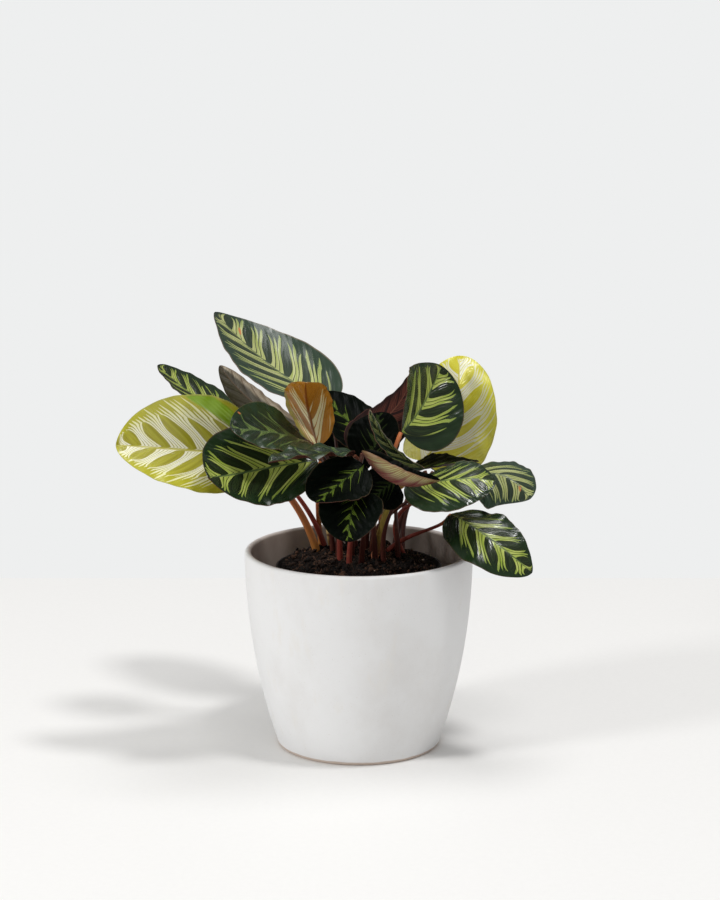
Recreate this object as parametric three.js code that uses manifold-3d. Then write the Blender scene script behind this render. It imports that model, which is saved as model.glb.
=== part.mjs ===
// A potted calathea (the peacock-patterned kind): a clump of broad oval leaf blades, each on its own
// stalk, rooted in the soil of a thin nursery pot that stands inside a white-washed clay cover pot.
// Millimetres, +Z up. The origin is the middle of the cover pot's underside.
import * as THREE from "three";
import { mergeVertices } from "three/addons/utils/BufferGeometryUtils.js";
import Module from "manifold-3d";

// ---- Driving dimensions ----
// The cover pot's wall leans out from the foot to the rim; curve says how early it turns upright.
const POT = {
  rim: 87.5, foot: 62.5, height: 153, curve: 2.05, wall: 5, floor: 8, lip: 1.6, bevel: 2, sides: 48,
};
const NURSERY = { rim: 64, foot: 46, base: POT.floor + 1, top: 140, wall: 1.2, band: 9, step: 1, sides: 36 };
const DRAIN = { count: 6, ring: 32, radius: 4, sides: 8 };
const SOIL = { edge: 138, crown: 7, clump: [-3, 16], lump: 1.8, shoulder: 12, rings: 6, sides: 32, gap: 0.5 };
const STALK = { foot: 2.6, neck: 1.3, joint: 1.7, jointLength: 7, sunk: 20, sides: 6, steps: 8 };
// lean is the share of its way sideways that a stalk has made by the end of its upright length; swing is
// the share of its length that it takes to swing over into the blade
const STALK_BEND = { lean: 0.25, swing: 0.25 };
const STALK_HOLE = 0.5; // play all round a stalk in the soil
const CUT_STALK = { foot: [-21, 52], lean: [-3, -2], height: 13 };
// rows run along the blade, columns across each half; rib is how thick the blade is at its midrib
const BLADE = { rows: 12, columns: 4, edge: 0.7, rib: 1.7, ribNarrow: 6, jointGap: 0.5 };
const WAVE = { count: 3, shift: 0.37 }; // waves along one margin, and how far the two margins are out of step
const OUTLINE = { base: 0.5, tip: 0.6 }; // how round the blade's two ends are: 0.5 is an ellipse's end

// The leaves, in millimetres and degrees:
//   foot    where the stalk leaves the soil          base, tip   the ends of the blade's midrib
//   face    the way the upper side looks             width       across the widest place
//   arch    how far the midrib bows to that side     nod, sway   more bow near the tip, sideways bow
//   fold    how far each half tilts up from the rib  roll        how far each half curls on outwards
//   twist   turn from base to tip                    wave        height of the waves of the margin
//   bend    how far the stalk's middle is pushed aside    girth   how thick its foot is, as a share
//   stout   how thick its neck is, as a share        climb   how much of its length stays near upright
//   rise    how much more upright than the midrib the stalk arrives    hue   which leaf colour it has
const LEAVES = [
  { name: "leaf_01", foot: [-16, 40], base: [-26, 58, 254], tip: [-117, 137, 317], face: [0.4, -0.27, 0.88],
    width: 83, arch: -6, nod: -4, sway: 9, fold: 7, roll: [-8, 39], twist: -20 },
  { name: "leaf_02", foot: [-25, 41], base: [-94, 15, 247], tip: [-155, 35, 290], face: [0, -0.1, 1],
    width: 56, arch: -1, nod: -2, sway: 1, fold: 9, roll: [15, -7], twist: -10, bend: [2, 0] },
  { name: "leaf_03", foot: [-28.5, 47], base: [-44, 5, 246], tip: [-106, 14, 293], face: [-0.14, 0.96, -0.22],
    width: 29, arch: -3, sway: 7, fold: 32, roll: [14, 14], twist: 14, bend: [-5, 0] },
  { name: "leaf_04", foot: [-32, 36], base: [-82, -5, 228], tip: [-180, -45, 243], face: [-0.09, -0.86, 0.51],
    width: 89, arch: 7, sway: -3, fold: 23, roll: [7, 31], twist: -11, hue: "sunlit",
    girth: 1.25, stout: 1.9 },
  { name: "leaf_05", foot: [27, 42], base: [50, 68, 208], tip: [78, 55, 294], face: [0.24, -0.9, 0.37],
    width: 82, arch: 12, nod: 3, sway: 7, fold: 22, roll: [19, 32], twist: 17, hue: "sunlit" },
  { name: "leaf_06", foot: [15, 34], base: [32, -17, 248], tip: [64, 36, 289], face: [0.47, -0.88, 0.04],
    width: 71, arch: -2, nod: -2, sway: 6, fold: 19, roll: [-1, 8], twist: 20 },
  { name: "leaf_07", foot: [-2, 38], base: [-8, 14, 229], tip: [41, 28, 284], face: [0.62, 0.6, -0.5],
    width: 50, arch: 3, nod: 6, sway: -2, fold: 2, roll: [17, 15], twist: 41 },
  { name: "leaf_08", foot: [10.5, 6], base: [36, -40, 214], tip: [101, -60, 218], face: [0.14, -0.48, 0.87],
    width: 58, nod: 6, sway: 4, fold: -10, roll: [1, -14], twist: -17, girth: 1.3, bend: [4, 0], stout: 2 },
  { name: "leaf_09", foot: [36, 30], base: [83, -12, 213], tip: [128, -33, 199], face: [0.15, -0.65, 0.74],
    width: 57, arch: 6, nod: 2, sway: -6, fold: -19, roll: [-10, -16], twist: -9, bend: [-30, 2] },
  { name: "leaf_10", foot: [18, 28], base: [70, -25, 186], tip: [128, -67, 151], face: [0.12, -0.69, 0.72],
    width: 51, arch: 12, sway: 5, fold: -9, roll: [5, -6], twist: -3, wave: 1.5, climb: 0.3 },
  { name: "leaf_11", foot: [11, 22], base: [49, -25, 221], tip: [8, -36, 268], face: [-0.2, -1, 0.1],
    width: 20, arch: -3, fold: 60, roll: [10, 10], bend: [-16, 0], rise: 3, sway: -8 },
  { name: "leaf_12", foot: [12, -2], base: [3, -44, 238], tip: [60, -57, 219], face: [0, -0.45, 0.85],
    width: 33, arch: -4, nod: -2, sway: 14, fold: 44, roll: [-35, 120], rise: 3, bend: [5, 3] },
  { name: "leaf_13", foot: [-16, 12], base: [-40, -24, 242], tip: [-94, -62, 259], face: [-0.24, -0.56, 0.8],
    width: 54, arch: 3, nod: -1, fold: 9, roll: [-8, 28], twist: 26, rise: 0.2, bend: [6, 3] },
  { name: "leaf_14", foot: [-14, -3], base: [-31, -31, 228], tip: [-109, -92, 229],
    face: [-0.08, -0.79, 0.61], width: 79, arch: -6, nod: -5, sway: 6, fold: 3, roll: [24, 3], twist: 13 },
  { name: "leaf_15", foot: [-5, 8], base: [-4, -41, 235], tip: [-65, -92, 239], face: [0, -0.1, 1],
    width: 28, arch: 2, fold: 42, roll: [-60, -48], wave: 2, bend: [-5, 0] },
  { name: "leaf_16", foot: [-20, 24], base: [-31, -12, 236], tip: [-39, -46, 290], face: [0.22, 0.92, 0.33],
    width: 42, arch: 7, nod: -2, sway: 4, fold: 19, roll: [51, 5], twist: -15, bend: [1, 4], hue: "young" },
  { name: "leaf_17", foot: [4, 48], base: [14, 44, 220], tip: [-30, 62, 263], face: [0.4, -0.66, 0.5],
    width: 54, arch: 1, nod: -1, fold: 4, roll: [29, -13], twist: -5 },
  { name: "leaf_18", foot: [5, 29], base: [11, -5, 219], tip: [17, 8, 258], face: [-0.32, -0.89, 0.33],
    width: 43, arch: 8, nod: 1, sway: 1, fold: 4, roll: [17, 8], twist: 8 },
  { name: "leaf_19", foot: [-7, -11], base: [0, -55, 210], tip: [-8, -82, 178], face: [-0.14, -0.8, 0.58],
    width: 50, arch: 4, nod: 1, sway: 1, fold: 8, roll: [15, 19], twist: -4, bend: [-5, 0] },
  { name: "leaf_20", foot: [2, -5], base: [4, -50, 229], tip: [-30, -84, 208], face: [-0.17, -0.55, 0.82],
    width: 49, arch: -3, sway: 3, fold: 2, roll: [-3, 16], twist: -19, rise: 3, bend: [-1, 2] },
  { name: "leaf_21", foot: [20, -4], base: [27, -46, 216], tip: [9, -50, 203], face: [0.23, -0.87, 0.44],
    width: 36, arch: 4, nod: -1, fold: 7, roll: [14, 17], rise: 3, bend: [-8, 0] },
  { name: "leaf_22", foot: [30, 12], base: [38, 1, 213], tip: [91, 4, 221], face: [0, 0, 1],
    width: 44, arch: 4, nod: -2, sway: 4, fold: 3, roll: [17, 17], twist: 8, bend: [0, -4] },
  { name: "leaf_23", foot: [-14, 50], base: [-36, 72, 222], tip: [-108, 118, 215], face: [-0.2, 0.3, 0.9],
    width: 58, arch: 8, fold: 10, roll: [10, 10], wave: 1.5 },
  { name: "leaf_24", foot: [10, 50], base: [20, 82, 224], tip: [30, 145, 222], face: [0.1, 0.2, 1],
    width: 50, arch: 8, fold: 10, roll: [10, 10], wave: 1.5 },
  { name: "leaf_25", foot: [34, 40], base: [60, 78, 198], tip: [100, 112, 172], face: [0.2, 0.2, 0.9],
    width: 48, arch: 8, fold: 10, roll: [10, 10], wave: 1.5, bend: [-6, 0] },
  { name: "leaf_26", foot: [-6, 46], base: [-12, 76, 193], tip: [-4, 85, 247], face: [0, -0.9, 0.2],
    width: 48, arch: 4, fold: -6, roll: [-8, -8], wave: 1.5 },
];
const LEAF_DEFAULTS = {
  arch: 0, nod: 0, sway: 0, fold: 0, roll: [0, 0], twist: 0, wave: 0, bend: [0, 0], rise: 0.9, girth: 1,
  stout: 1, climb: 0.45, hue: "grown",
};

// ---- Materials ----
const finish = (color, roughness) => new THREE.MeshStandardMaterial({ color, roughness, metalness: 0 });
const POT_FINISH = finish("#e6e4e1", 0.85);
const NURSERY_FINISH = finish("#2a2624", 0.6);
const SOIL_FINISH = finish("#2c1f17", 0.95);
const BLADE_FINISH = {
  grown: finish("#33502b", 0.35),
  sunlit: finish("#b3b34a", 0.4),
  young: finish("#b0803a", 0.45),
};
const STALK_FINISH = finish("#9a5a3c", 0.5);
const CUT_FINISH = finish("#cdbb7a", 0.6);

const wasm = await Module();
wasm.setup();

// ---- Solids ----

// A geometry's vertices merged by place, with the faces that collapsed dropped.
function closed(geometry) {
  const spare = Object.keys(geometry.attributes).filter((name) => name !== "position");
  spare.forEach((name) => geometry.deleteAttribute(name));
  const merged = mergeVertices(geometry, 1e-3);
  const index = [];
  for (let i = 0; i < merged.index.count; i += 3) {
    const [a, b, c] = [0, 1, 2].map((k) => merged.index.getX(i + k));
    if (a !== b && b !== c && a !== c) index.push(a, b, c);
  }
  merged.setIndex(index);
  merged.computeVertexNormals();
  return merged;
}

// A closed geometry as a manifold-3d solid, and back.
const toSolid = (geometry) =>
  new wasm.Manifold(new wasm.Mesh({
    numProp: 3,
    vertProperties: new Float32Array(geometry.attributes.position.array),
    triVerts: new Uint32Array(geometry.index.array),
  }));

function toGeometry(solid) {
  const mesh = solid.getMesh();
  const geometry = new THREE.BufferGeometry();
  geometry.setAttribute("position", new THREE.BufferAttribute(mesh.vertProperties.slice(), 3));
  geometry.setIndex([...mesh.triVerts]);
  geometry.computeVertexNormals();
  return geometry;
}

// A profile of [radius, height] points turned round the pot's axis.
function turned(profile, sides) {
  const geometry = new THREE.LatheGeometry(profile.map(([r, z]) => new THREE.Vector2(r, z)), sides);
  geometry.rotateX(Math.PI / 2);
  return closed(geometry);
}

// The tube round a path of points: radius(ring) at each, closed by a flat cap at both ends.
function tube(path, radius, sides) {
  const up = new THREE.Vector3(0, 1, 0);
  const points = [];
  path.forEach((centre, i) => {
    const along = path[Math.min(i + 1, path.length - 1)].clone().sub(path[Math.max(i - 1, 0)]).normalize();
    const right = new THREE.Vector3().crossVectors(along, up).normalize();
    const front = new THREE.Vector3().crossVectors(right, along);
    for (let k = 0; k < sides; k++) {
      const angle = (2 * Math.PI * k) / sides;
      points.push(centre.clone()
        .addScaledVector(right, Math.cos(angle) * radius(i))
        .addScaledVector(front, Math.sin(angle) * radius(i)));
    }
  });
  const index = [];
  const last = (path.length - 1) * sides;
  for (let k = 0; k < sides; k++) {
    const next = (k + 1) % sides;
    for (let ring = 0; ring < last; ring += sides) {
      index.push(ring + k, ring + sides + k, ring + sides + next, ring + k, ring + sides + next, ring + next);
    }
    if (k > 0 && k < sides - 1) index.push(0, k, next, last, last + next, last + k);
  }
  const geometry = new THREE.BufferGeometry().setFromPoints(points);
  geometry.setIndex(index);
  return closed(geometry);
}

// ---- Cover pot: outer wall radius at a height, and the wall ----
const wallRadius = (z) => POT.rim - (POT.rim - POT.foot) * (1 - z / POT.height) ** POT.curve;

function potGeometry() {
  const { height, wall, floor, lip, bevel, rim, foot } = POT;
  const outer = [bevel, 12, 28, 50, 78, 112, height - lip].map((z) => [wallRadius(z), z]);
  const inner = [height - lip, 112, 78, 50, 28, floor + bevel].map((z) => [wallRadius(z) - wall, z]);
  return turned([
    [0, 0], [foot - bevel, 0],
    ...outer,
    [rim - lip, height], [rim - wall + lip, height],
    ...inner,
    [wallRadius(floor) - wall - bevel, floor], [0, floor],
  ], POT.sides);
}

// ---- Nursery pot: a thin tapered shell with a rolled band at its rim and drain holes ----
const nurseryRadius = (z) =>
  NURSERY.foot + ((NURSERY.rim - NURSERY.foot) * (z - NURSERY.base)) / (NURSERY.top - NURSERY.base);

function nurseryGeometry() {
  const { base, top, wall, band, step, rim, foot, sides } = NURSERY;
  const neck = nurseryRadius(top - band) - step;
  const shell = toSolid(turned([
    [0, base], [foot, base],
    [neck, top - band], [rim, top - band], [rim, top],
    [rim - wall, top], [neck - wall, top - band],
    [foot - wall, base + wall], [0, base + wall],
  ], sides));
  const holes = Array.from({ length: DRAIN.count }, (_, i) => {
    const angle = (2 * Math.PI * i) / DRAIN.count;
    const hole = new THREE.CylinderGeometry(DRAIN.radius, DRAIN.radius, 4 * wall, DRAIN.sides);
    hole.rotateX(Math.PI / 2);
    hole.translate(DRAIN.ring * Math.cos(angle), DRAIN.ring * Math.sin(angle), base);
    return toSolid(closed(hole));
  });
  return toGeometry(holes.reduce((solid, hole) => solid.subtract(hole), shell));
}

// ---- Leaves ----
const vector = (values) => new THREE.Vector3(...values);

// The midrib of a blade: its point, direction and the normal of the upper side at share t.
function midrib(leaf, t) {
  const base = vector(leaf.base);
  const chord = vector(leaf.tip).sub(base);
  const along = chord.clone().normalize();
  const up = vector(leaf.face);
  up.addScaledVector(along, -up.dot(along)).normalize();
  const side = new THREE.Vector3().crossVectors(along, up);
  const bow = up.clone().multiplyScalar(leaf.arch).addScaledVector(side, leaf.sway);
  const point = base.addScaledVector(chord, t)
    .addScaledVector(bow, 4 * t * (1 - t))
    .addScaledVector(up, leaf.nod * 6.75 * t * t * (1 - t));
  const direction = chord.clone()
    .addScaledVector(bow, 4 * (1 - 2 * t))
    .addScaledVector(up, leaf.nod * 6.75 * (2 * t - 3 * t * t))
    .normalize();
  const normal = up.addScaledVector(direction, -up.dot(direction)).normalize();
  normal.applyAxisAngle(direction, -THREE.MathUtils.degToRad(leaf.twist) * (t - 0.5));
  return { point, direction, normal };
}

// The blade's half width as a share of the widest: a power curve, rounder at the base than at the tip.
function outlineShare(t) {
  const { base, tip } = OUTLINE;
  const widest = base / (base + tip);
  return (t ** base * (1 - t) ** tip) / (widest ** base * (1 - widest) ** tip);
}

// A point of the blade's middle surface. Across the blade, v from -1 to 1, each half leaves the rib at
// the fold angle and turns on by the roll angle, so its section is an arc; waves grow to the margin.
function bladePoint(leaf, t, v) {
  const { point, direction, normal } = midrib(leaf, t);
  const side = new THREE.Vector3().crossVectors(direction, normal);
  const share = outlineShare(t);
  const half = (leaf.width / 2) * share;
  const fold = THREE.MathUtils.degToRad(leaf.fold);
  const rollHere = THREE.MathUtils.degToRad(leaf.roll[v < 0 ? 0 : 1]) * share;
  const roll = Math.abs(rollHere) < 1e-4 ? 1e-4 : rollHere;
  const end = fold + roll * Math.abs(v);
  const out = (Math.sign(v) * half * (Math.sin(end) - Math.sin(fold))) / roll;
  const phase = v > 0 ? WAVE.shift : 0;
  const wave = leaf.wave * share * v * v * Math.sin(2 * Math.PI * (WAVE.count * t + phase));
  const rise = (half * (Math.cos(fold) - Math.cos(end))) / roll + wave;
  return point.addScaledVector(side, out).addScaledVector(normal, rise);
}

// The middle surface's normal on the upper side, from its slopes along and across the blade.
function bladeNormal(leaf, t, v) {
  const step = 5e-4;
  const along = bladePoint(leaf, t + step, v).sub(bladePoint(leaf, t - step, v));
  const across = bladePoint(leaf, t, v + step).sub(bladePoint(leaf, t, v - step));
  return across.cross(along).normalize();
}

// The blade as a closed solid: the middle surface moved out to both sides along its normal, thicker
// along the rib, with both faces split into triangles alike and a narrow face round the margin.
function bladeGeometry(leaf) {
  const columns = 2 * BLADE.columns;
  const faces = [[], []];
  for (let row = 0; row <= BLADE.rows; row++) {
    const t = (1 - Math.cos((Math.PI * row) / BLADE.rows)) / 2;
    const pole = row === 0 || row === BLADE.rows;
    for (let column = 0; column <= columns; column++) {
      const v = pole ? 0 : column / BLADE.columns - 1;
      const middle = bladePoint(leaf, t, v);
      const normal = v === 0 ? midrib(leaf, t).normal : bladeNormal(leaf, t, v);
      const ribShare = pole ? 0 : (1 - Math.abs(v)) ** BLADE.ribNarrow * (1 - t);
      const below = BLADE.edge / 2 + (BLADE.rib - BLADE.edge) * ribShare;
      faces[0].push(middle.clone().addScaledVector(normal, BLADE.edge / 2));
      faces[1].push(middle.clone().addScaledVector(normal, -below));
    }
  }
  const width = columns + 1;
  const under = faces[0].length;
  const index = [];
  const quad = (a, b, c, d) => index.push(a, b, c, a, c, d);
  const turnedQuad = (a, b, c, d) => index.push(a, c, b, a, d, c);
  for (let row = 0; row < BLADE.rows; row++) {
    const left = row * width;
    const right = left + columns;
    for (let a = left; a < right; a++) {
      quad(a, a + 1, a + 1 + width, a + width);
      turnedQuad(under + a, under + a + 1, under + a + 1 + width, under + a + width);
    }
    quad(left, left + width, under + left + width, under + left);
    turnedQuad(right, right + width, under + right + width, under + right);
  }
  const geometry = new THREE.BufferGeometry().setFromPoints([...faces[0], ...faces[1]]);
  geometry.setIndex(index);
  return closed(geometry);
}

// The stalk's path: straight up out of the soil, one smooth curve, then the short straight joint, which
// is more upright than the midrib and stops short of it by as much as its turned end needs.
function stalkPath(leaf) {
  const foot = vector([...leaf.foot, SOIL.edge]);
  const { point, direction } = midrib(leaf, 0);
  const arrive = direction.clone().add(vector([0, 0, leaf.rise])).normalize();
  const turn = new THREE.Vector3().crossVectors(arrive, direction).length();
  const end = point.clone().addScaledVector(arrive, -BLADE.jointGap - STALK.joint * turn);
  const knee = end.clone().addScaledVector(arrive, -STALK.jointLength);
  const reach = foot.distanceTo(knee);
  const aside = vector([...leaf.bend, 0]);
  const lean = knee.clone().sub(foot).multiplyScalar(STALK_BEND.lean).setZ(leaf.climb * reach);
  const low = foot.clone().add(lean).add(aside);
  const high = knee.clone().addScaledVector(arrive, -STALK_BEND.swing * reach).add(aside);
  const curve = new THREE.CubicBezierCurve3(foot, low, high, knee);
  const buried = foot.clone().setZ(foot.z - STALK.sunk);
  return [buried, ...curve.getSpacedPoints(STALK.steps - 2), end];
}

// Thick and sheath-like at the foot, thin at the neck, and swollen again at the joint with the blade.
function stalkRadius(leaf, ring) {
  const { joint, steps } = STALK;
  const foot = STALK.foot * leaf.girth;
  const neck = STALK.neck * leaf.stout;
  const thin = steps - 3; // the ring where the neck begins
  return ring > thin + 1 ? joint : foot + (neck - foot) * Math.min(1, ring / thin);
}

const stalkGeometry = (leaf, clearance = 0) =>
  tube(stalkPath(leaf), (ring) => stalkRadius(leaf, ring) + clearance, STALK.sides);

// The short stub that is left of a stalk that was cut off.
function cutStalkGeometry(clearance = 0) {
  const { foot, lean, height } = CUT_STALK;
  const buried = vector([...foot, SOIL.edge - STALK.sunk]);
  const surface = vector([...foot, SOIL.edge]);
  const end = surface.clone().add(vector([...lean, SOIL.crown + height]));
  return tube([buried, surface, end], () => STALK.foot + clearance, STALK.sides);
}

// ---- Soil: fills the nursery pot, heaped towards the clump, with a lumpy top and a hole per stalk ----
function soilHeight(x, y) {
  const { edge, crown, clump, lump } = SOIL;
  const away = Math.hypot(x - clump[0], y - clump[1]) / NURSERY.rim;
  const bumps = Math.sin(x / 3.2 + 1.3) * Math.cos(y / 3.7) + 0.8 * Math.sin(x / 6 - y / 2.8 + 2);
  return edge + crown * Math.max(0, 1 - away * away) + lump * bumps;
}

function soilGeometry(leaves) {
  const { edge, rings, sides, gap } = SOIL;
  const low = NURSERY.base + NURSERY.wall + gap;
  const shoulder = edge - SOIL.shoulder;
  const inside = (z) => nurseryRadius(z) - NURSERY.wall - NURSERY.step - gap;
  const profile = [[0, low], [inside(low), low], [inside(shoulder), shoulder]];
  for (let ring = rings; ring >= 0; ring--) profile.push([(inside(shoulder) * ring) / rings, edge]);
  const geometry = turned(profile, sides);
  const position = geometry.attributes.position;
  for (let i = 0; i < position.count; i++) {
    const [x, y, z] = [position.getX(i), position.getY(i), position.getZ(i)];
    if (z > shoulder) position.setZ(i, soilHeight(x, y));
  }
  const holes = [cutStalkGeometry(STALK_HOLE), ...leaves.map((leaf) => stalkGeometry(leaf, STALK_HOLE))];
  const holed = holes.reduce((solid, hole) => solid.subtract(toSolid(hole)), toSolid(geometry));
  const bodies = holed.decompose().sort((a, b) => b.volume() - a.volume());
  return toGeometry(bodies[0]);
}

// ---- Assembly ----
const plant = new THREE.Group();
const leaves = LEAVES.map((leaf) => ({ ...LEAF_DEFAULTS, ...leaf }));

function add(name, geometry, material) {
  const mesh = new THREE.Mesh(geometry, material);
  mesh.name = name;
  plant.add(mesh);
}

add("cover_pot", potGeometry(), POT_FINISH);
add("nursery_pot", nurseryGeometry(), NURSERY_FINISH);
add("soil", soilGeometry(leaves), SOIL_FINISH);
add("cut_stalk", cutStalkGeometry(), CUT_FINISH);
for (const leaf of leaves) {
  add(`${leaf.name}_blade`, bladeGeometry(leaf), BLADE_FINISH[leaf.hue]);
  add(`${leaf.name}_stalk`, stalkGeometry(leaf), STALK_FINISH);
}

export default plant;
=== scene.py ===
# Potted calathea: the plant, its soil and its two pots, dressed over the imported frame. Metres, +Z up.
import math

import bpy
import numpy as np
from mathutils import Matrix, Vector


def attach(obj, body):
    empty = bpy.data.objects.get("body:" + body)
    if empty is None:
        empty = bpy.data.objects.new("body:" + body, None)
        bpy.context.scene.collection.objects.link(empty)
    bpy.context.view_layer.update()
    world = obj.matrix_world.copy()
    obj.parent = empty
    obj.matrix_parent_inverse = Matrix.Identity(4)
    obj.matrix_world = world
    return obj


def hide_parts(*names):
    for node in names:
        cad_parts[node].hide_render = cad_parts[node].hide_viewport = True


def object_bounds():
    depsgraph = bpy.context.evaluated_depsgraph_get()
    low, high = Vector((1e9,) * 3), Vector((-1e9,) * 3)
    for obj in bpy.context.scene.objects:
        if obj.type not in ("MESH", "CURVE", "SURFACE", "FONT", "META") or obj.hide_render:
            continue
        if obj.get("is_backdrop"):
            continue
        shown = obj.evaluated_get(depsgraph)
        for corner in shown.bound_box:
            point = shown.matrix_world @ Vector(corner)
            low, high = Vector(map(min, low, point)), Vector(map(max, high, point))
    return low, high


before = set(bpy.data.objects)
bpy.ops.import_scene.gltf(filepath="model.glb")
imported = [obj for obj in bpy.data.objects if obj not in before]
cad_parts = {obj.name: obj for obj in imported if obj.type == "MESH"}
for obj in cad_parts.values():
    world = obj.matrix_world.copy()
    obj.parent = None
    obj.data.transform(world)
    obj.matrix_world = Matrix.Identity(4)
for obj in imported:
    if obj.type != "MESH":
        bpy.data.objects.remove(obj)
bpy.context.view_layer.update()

# ---- Camera ----
# The photograph is taken from a little above the plant with a long lens: 1.7 m in front of the pot, and
# turned down from level by 11.34 degrees.
MM = 0.001
CAMERA = {"place": (0.87 * MM, -1.7, 571.12 * MM), "tilt": 78.66, "lens": 91.14, "sensor": 36.0}


def placed(name, data):
    """A new object of the scene that holds a camera, a lamp or a mesh."""
    holder = bpy.data.objects.new(name, data)
    bpy.context.scene.collection.objects.link(holder)
    return holder


camera_lens = bpy.data.cameras.new("camera")
camera_lens.sensor_width = CAMERA["sensor"]
camera_lens.lens = CAMERA["lens"]
camera = placed("camera", camera_lens)
camera.location = CAMERA["place"]
camera.rotation_euler = (math.radians(CAMERA["tilt"]), 0.0, 0.0)
bpy.context.scene.camera = camera
bpy.context.scene.view_settings.view_transform = "Standard"


# ---- Studio ----
# The floor is a matte white board that ends half a metre behind the pot, where the pale wall begins. A
# key lamp hangs high on the right, another stands on the left and a broad one hangs above.
FLOOR = {"side": 4.0, "back": 0.5}
LIGHTS = {
    "key_light": {"size": 0.56, "power": 47.0, "place": (0.98, -0.74, 3.8)},
    "soft_left": {"size": 0.6, "power": 28.0, "place": (-2.4, -1.3, 1.25)},
    "soft_above": {"size": 1.8, "power": 42.0, "place": (0.1, 0.4, 3.9)},
}
LIT_POINT = (0.0, 0.0, 0.15)
SURROUNDINGS = {"light": 0.41, "mirrored": 0.16}
WHITE = (1.0, 1.0, 1.0, 1.0)


class Wire:
    """One output of a material's nodes. Operators on wires and numbers add Math nodes."""

    def __init__(self, tree, socket=None):
        self.tree = tree
        self.socket = socket

    def node(self, kind, settings=None, inputs=None, output=0):
        """Adds a node of a kind, with its settings first, then the numbers or wires of its inputs."""
        node = self.tree.nodes.new("ShaderNode" + kind)
        for name, value in (settings or {}).items():
            if name == "stops":
                ramp = node.color_ramp
                while len(ramp.elements) < len(value):
                    ramp.elements.new(0.5)
                for element, (place, colour) in zip(ramp.elements, value):
                    element.position = place
                    element.color = colour
            else:
                setattr(node, name, value)
        for name, value in (inputs or {}).items():
            if isinstance(value, Wire):
                self.tree.links.new(value.socket, node.inputs[name])
            else:
                node.inputs[name].default_value = value
        return Wire(self.tree, node.outputs[output]) if node.outputs else None

    def math(self, operation, *values):
        return self.node("Math", {"operation": operation}, dict(enumerate(values)))

    def __add__(self, other):
        return self.math("ADD", self, other)

    def __sub__(self, other):
        return self.math("SUBTRACT", self, other)

    def __rsub__(self, other):
        return self.math("SUBTRACT", other, self)

    def __mul__(self, other):
        return self.math("MULTIPLY", self, other)

    def __truediv__(self, other):
        return self.math("DIVIDE", self, other)

    __radd__ = __add__
    __rmul__ = __mul__

    def step(self, low, high):
        """0 below low, 1 above high and smooth between; low may be the larger, which turns it round."""
        bounds = {"Value": self, "From Min": low, "From Max": high}
        return self.node("MapRange", {"interpolation_type": "SMOOTHSTEP"}, bounds)

    def blend(self, first, second):
        """The first colour where this wire is 0 and the second where it is 1."""
        mix = {"data_type": "RGBA", "clamp_factor": True}
        return self.node("Mix", mix, {0: self, 6: first, 7: second}, 2)

    def part(self, axis):
        """The X, Y or Z of a vector."""
        return self.node("SeparateXYZ", {}, {0: self}, axis)

    def luck(self, x, y, z=0.0):
        """A random number from 0 to 1 for each set of whole numbers x, y and z."""
        cell = self.node("CombineXYZ", {}, {"X": x, "Y": y, "Z": z})
        return self.node("TexWhiteNoise", {"noise_dimensions": "3D"}, {"Vector": cell}, "Value")

    def bump(self, height, strength, distance):
        """The normal turned as by a relief, where a height of 1 stands for a distance in metres."""
        return self.node("Bump", {}, {"Height": height, "Strength": strength, "Distance": distance})

    def noise(self, place, scale, detail=2.0, roughness=0.5, stretch=(1.0, 1.0, 1.0)):
        """Noise from 0 to 1 at a place, drawn out along the axes with a small stretch."""
        scaled = self.node("VectorMath", {"operation": "MULTIPLY"}, {0: place, 1: stretch})
        values = {"Vector": scaled, "Scale": scale, "Detail": detail, "Roughness": roughness}
        return self.node("TexNoise", {}, values)


def colour(red, green, blue):
    """A colour from its 0 to 255 display values, as the linear colour that shaders use."""
    share = np.array([red, green, blue]) / 255.0
    linear = np.where(share <= 0.04045, share / 12.92, ((share + 0.055) / 1.055) ** 2.4)
    return (*linear.tolist(), 1.0)


def new_material(name):
    """An empty material, the wire to start its nodes from, and the place on the object."""
    material = bpy.data.materials.new(name)
    material.use_nodes = True
    material.node_tree.nodes.clear()
    start = Wire(material.node_tree)
    return material, start, start.node("TexCoord", output="Object")


def finish_material(start, inputs):
    """Ends a material: a Principled shader with these inputs goes to its surface."""
    start.node("OutputMaterial", {}, {"Surface": start.node("BsdfPrincipled", {}, inputs)})


def place_light(name, size, power, place):
    """A disc light at a place, turned to the middle of the object and not seen by the camera."""
    lamp = bpy.data.lights.new(name, "AREA")
    lamp.shape = "DISK"
    lamp.size = size
    lamp.energy = power
    holder = placed(name, lamp)
    way = np.subtract(LIT_POINT, place)
    across = math.hypot(way[0], way[1])
    holder.location = place
    holder.visible_camera = False
    holder.rotation_euler = (math.atan2(across, -way[2]), 0.0, math.atan2(way[1], way[0]) - math.pi / 2)


side, back = FLOOR["side"], FLOOR["back"]
floor_corners = [(-side, -side, 0.0), (side, -side, 0.0), (side, back, 0.0), (-side, back, 0.0)]
floor_mesh = bpy.data.meshes.new("floor")
floor_mesh.from_pydata(floor_corners, [], [(0, 1, 2, 3)])
floor = placed("floor", floor_mesh)
floor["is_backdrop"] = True
floor_paint, start, spot = new_material("floor_paint")
grain = start.noise(spot, 220.0, 3.0)
finish_material(start, {
    "Base Color": grain.blend(colour(243, 242, 240), colour(247, 246, 244)),
    "Roughness": 0.62,
})
floor_mesh.materials.append(floor_paint)

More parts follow.
